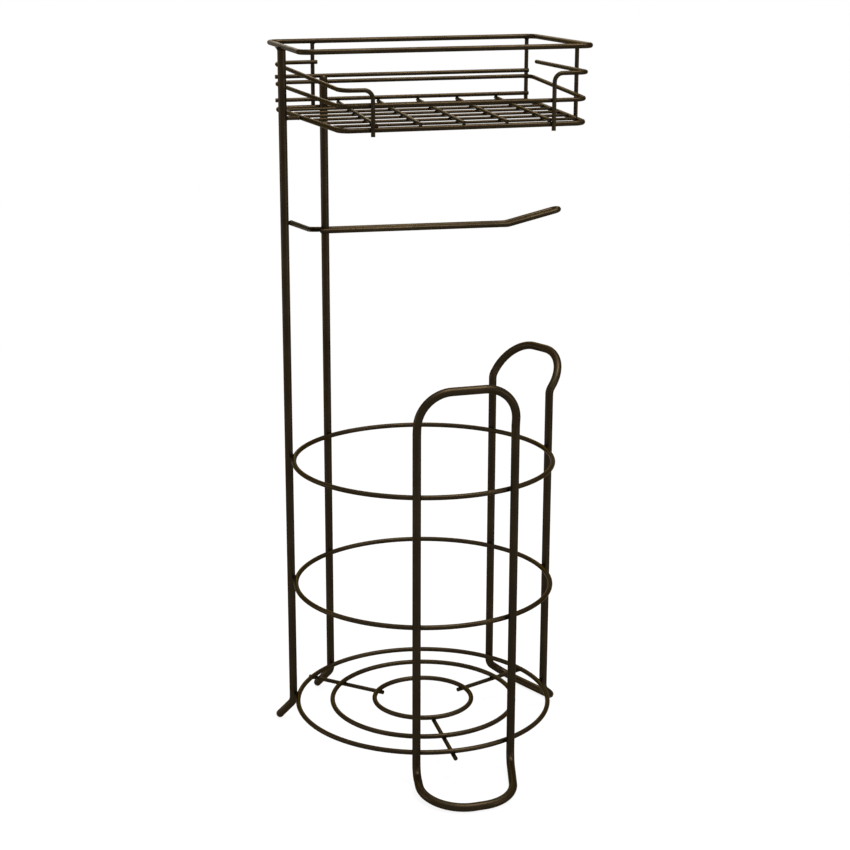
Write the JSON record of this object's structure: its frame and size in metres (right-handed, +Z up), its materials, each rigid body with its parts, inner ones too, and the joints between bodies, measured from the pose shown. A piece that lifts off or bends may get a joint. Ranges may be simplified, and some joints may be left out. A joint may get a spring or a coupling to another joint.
{
  "type": "toilet roll storage holder",
  "caption": "Free-standing wire stand that keeps spare toilet rolls in a ring cage, holds one on a side arm and carries a wire basket on top.",
  "frame": {"origin": "on the floor under the centre of the ring cage", "axes": "+Z up, +X along the roll arm and the basket, -Y towards the front loop"},
  "size_m": [0.199, 0.2057, 0.4315],
  "materials": {
    "bronze_coating": "satin oil-rubbed bronze coating on steel wire"
  },
  "bodies": {
    "root": {"upright_front": "bronze_coating", "upright_rear": "bronze_coating", "front_loop": "bronze_coating", "rear_loop": "bronze_coating", "cage_ring_upper": "bronze_coating", "cage_ring_middle": "bronze_coating", "base_ring_outer": "bronze_coating", "base_ring_middle": "bronze_coating", "base_ring_inner": "bronze_coating", "base_spoke_front": "bronze_coating", "base_spoke_rear": "bronze_coating", "base_spoke_left": "bronze_coating", "roll_arm": "bronze_coating", "basket_rim": "bronze_coating", "basket_bottom_frame": "bronze_coating", "basket_middle_loop": "bronze_coating", "basket_front_wire_left": "bronze_coating", "basket_front_wire_right": "bronze_coating", "basket_back_rail_upper": "bronze_coating", "basket_back_rail_lower": "bronze_coating", "basket_back_post_left": "bronze_coating", "basket_back_post_right": "bronze_coating", "basket_side_post": "bronze_coating", "basket_stay": "bronze_coating", "floor_rail_1": "bronze_coating", "floor_rail_2": "bronze_coating", "floor_rail_3": "bronze_coating", "floor_rail_4": "bronze_coating", "floor_rail_5": "bronze_coating", "floor_rail_6": "bronze_coating", "floor_cross_wire_1": "bronze_coating", "floor_cross_wire_2": "bronze_coating", "floor_cross_wire_3": "bronze_coating", "floor_cross_wire_4": "bronze_coating", "floor_cross_wire_5": "bronze_coating"}
  },
  "joints": []
}
